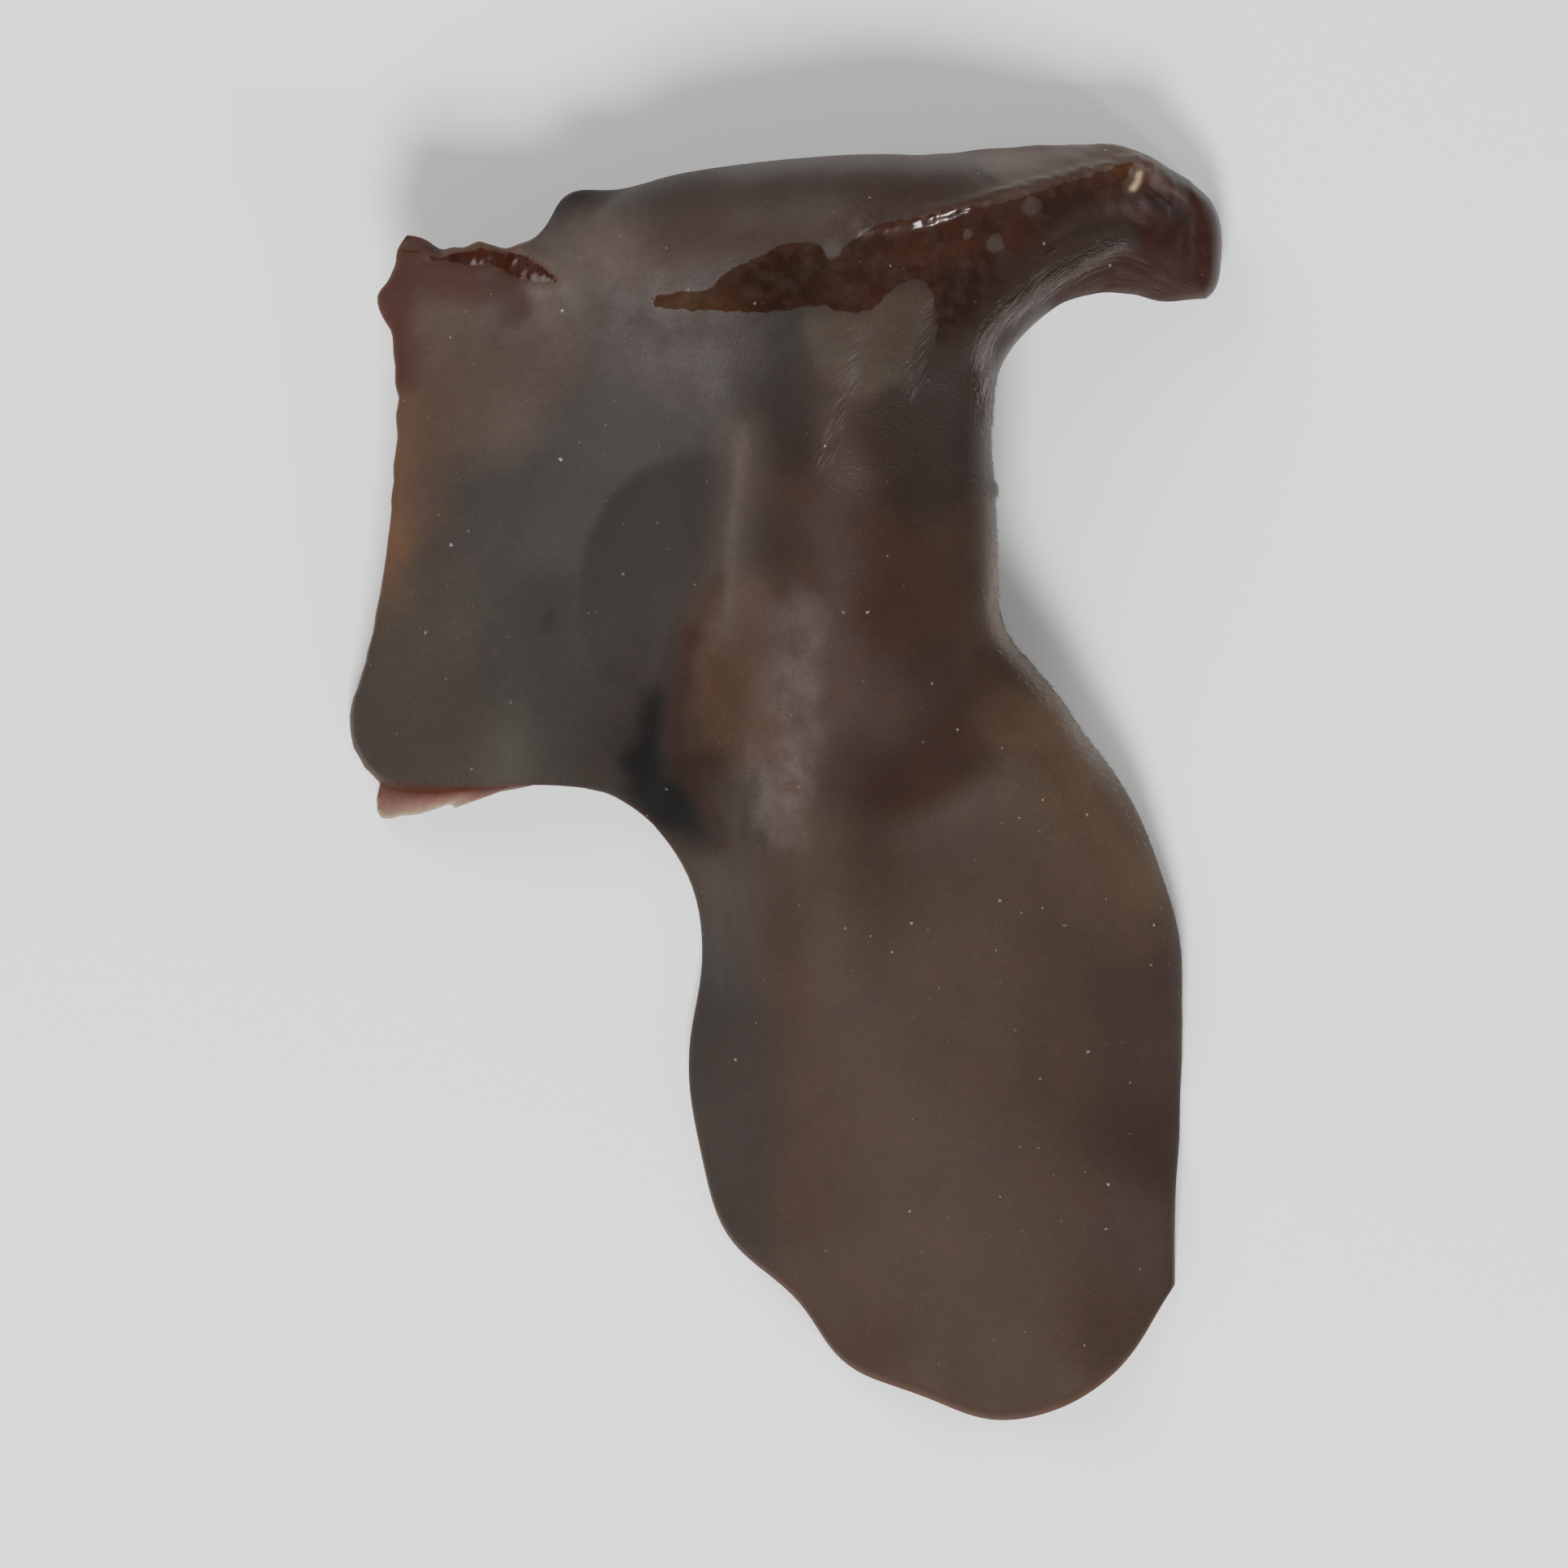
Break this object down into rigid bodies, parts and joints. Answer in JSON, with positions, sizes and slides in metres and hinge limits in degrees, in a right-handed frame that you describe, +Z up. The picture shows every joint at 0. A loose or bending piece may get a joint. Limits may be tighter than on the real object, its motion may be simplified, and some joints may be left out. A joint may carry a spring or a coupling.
{
  "type": "wood ear mushroom",
  "caption": "Fresh wood ear mushroom: a thin rubbery sheet fanning out from a thick base, with rolled edges, a tall fold and a broad lobe, lying smooth side up.",
  "frame": {"origin": "on the surface that the mushroom rests on, below the middle of its outline seen from above", "axes": "+Y from the free end of the lobe towards the upper edge, +X towards the thick base, +Z up from the resting surface"},
  "size_m": [0.077, 0.112, 0.022],
  "materials": {
    "ear_flesh": "moist satin, grey-brown above, velvety pale grey beneath"
  },
  "bodies": {
    "root": {"ear": "ear_flesh"}
  },
  "joints": []
}
